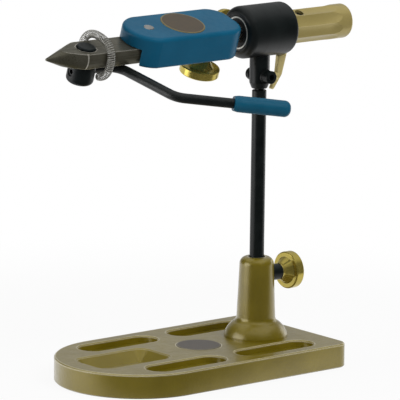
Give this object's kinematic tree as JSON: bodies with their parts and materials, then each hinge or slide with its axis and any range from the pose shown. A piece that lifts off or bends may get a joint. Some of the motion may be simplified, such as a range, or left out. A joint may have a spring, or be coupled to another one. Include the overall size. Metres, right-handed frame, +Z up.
{
  "type": "fly tying vise",
  "caption": "Pedestal fly tying vise: heavy base with shallow pockets, upright stem, tilting rotary barrel with rear handle, and a lever-squeezed pair of conical jaws in a blue head.",
  "frame": {"origin": "on the axis of the upright stem, at the underside of the base plate", "axes": "+X from the jaws towards the rear handle, +Y away from the user, +Z up along the stem"},
  "size_m": [0.2455, 0.1313, 0.2363],
  "materials": {
    "bronze": "satin antique bronze",
    "disc": "dull brushed metal",
    "black_steel": "satin black oxide",
    "brass": "machined brass",
    "bright_steel": "bright steel",
    "blue_paint": "satin blue coating",
    "blue_grip": "blue dipped vinyl",
    "jaw_steel": "dark hardened tool steel",
    "seal_rubber": "black rubber"
  },
  "bodies": {
    "base": {"base_plate": "bronze", "base_disc": "disc", "stem_post": "bronze", "post_screws": "black_steel"},
    "stem_clamp": {"stem_clamp_stud": "black_steel", "stem_clamp_knob": "brass"},
    "stem": {"stem": "black_steel"},
    "barrel": {"bearing_housing": "black_steel", "yoke": "black_steel", "tilt_bolt": "black_steel", "tilt_washers": "black_steel", "tilt_nut": "black_steel", "outer_races": "bright_steel", "bearing_seals": "seal_rubber", "brake_plug": "brass"},
    "brake": {"brake_stud": "bright_steel", "brake_knob": "brass"},
    "lock": {"lock_lever": "brass", "lock_stud": "bright_steel"},
    "rotor": {"rotary_shaft": "bright_steel", "inner_races": "bright_steel", "bearing_balls": "bright_steel", "front_spacer": "bright_steel", "handle": "brass", "handle_screw": "black_steel", "head_body": "blue_paint", "head_disc": "disc", "jaw_pin": "bright_steel", "jaw_spring": "bright_steel", "material_spring": "bright_steel"},
    "head_clamp": {"head_clamp_stud": "bright_steel", "head_clamp_knob": "brass"},
    "jaw_lever": {"cam": "black_steel", "cam_hub": "black_steel", "hub_screw": "black_steel", "lever_rod": "black_steel", "lever_grip": "blue_grip"},
    "near_jaw": {"near_jaw": "jaw_steel"},
    "far_jaw": {"far_jaw": "jaw_steel"}
  },
  "joints": [
    {"name": "stem_height", "type": "slide", "parent": "base", "child": "stem", "axis": [0, 0, 1], "range_m": [-0.006, 0.022]},
    {"name": "stem_clamp_turn", "type": "hinge", "parent": "base", "child": "stem_clamp", "pos_m": [0, 0, 0.0565], "axis": [1, 0, 0], "range_deg": [0, 180]},
    {"name": "head_tilt", "type": "hinge", "parent": "stem", "child": "barrel", "pos_m": [0, 0, 0.18945], "axis": [0, 1, 0], "range_deg": [-10, 10]},
    {"name": "lock_turn", "type": "hinge", "parent": "barrel", "child": "lock", "pos_m": [0, 0, 0.18765], "axis": [1, 0, 0], "range_deg": [0, 60]},
    {"name": "brake_turn", "type": "hinge", "parent": "barrel", "child": "brake", "pos_m": [-0.006, 0, 0.21915], "axis": [0, 1, 0], "range_deg": [0, 180]},
    {"name": "rotary_turn", "type": "hinge", "parent": "barrel", "child": "rotor", "pos_m": [0, 0, 0.21915], "axis": [1, 0, 0], "continuous": true},
    {"name": "head_clamp_turn", "type": "hinge", "parent": "rotor", "child": "head_clamp", "pos_m": [-0.0448, 0, 0.21915], "axis": [0, -0.3007, 0.9537], "range_deg": [0, 180]},
    {"name": "jaw_squeeze", "type": "hinge", "parent": "rotor", "child": "jaw_lever", "pos_m": [-0.1438, 0, 0.21915], "axis": [0, -0.3007, 0.9537], "range_deg": [0, 20], "stiffness_Nm_per_rad": 3, "springref_deg": -20.05, "deforming": ["jaw_spring", "material_spring"]},
    {"name": "near_jaw_open", "type": "hinge", "parent": "rotor", "child": "near_jaw", "pos_m": [-0.0955, 0, 0.21915], "axis": [0, -0.3007, 0.9537], "range_deg": [0, 1.6]},
    {"name": "far_jaw_open", "type": "hinge", "parent": "rotor", "child": "far_jaw", "pos_m": [-0.0955, 0, 0.21915], "axis": [0, -0.3007, 0.9537], "range_deg": [-1.6, 0]}
  ],
  "couplings": [
    {"joint": "near_jaw_open", "follows": "jaw_squeeze", "ratio": 0.073},
    {"joint": "far_jaw_open", "follows": "jaw_squeeze", "ratio": -0.073}
  ]
}
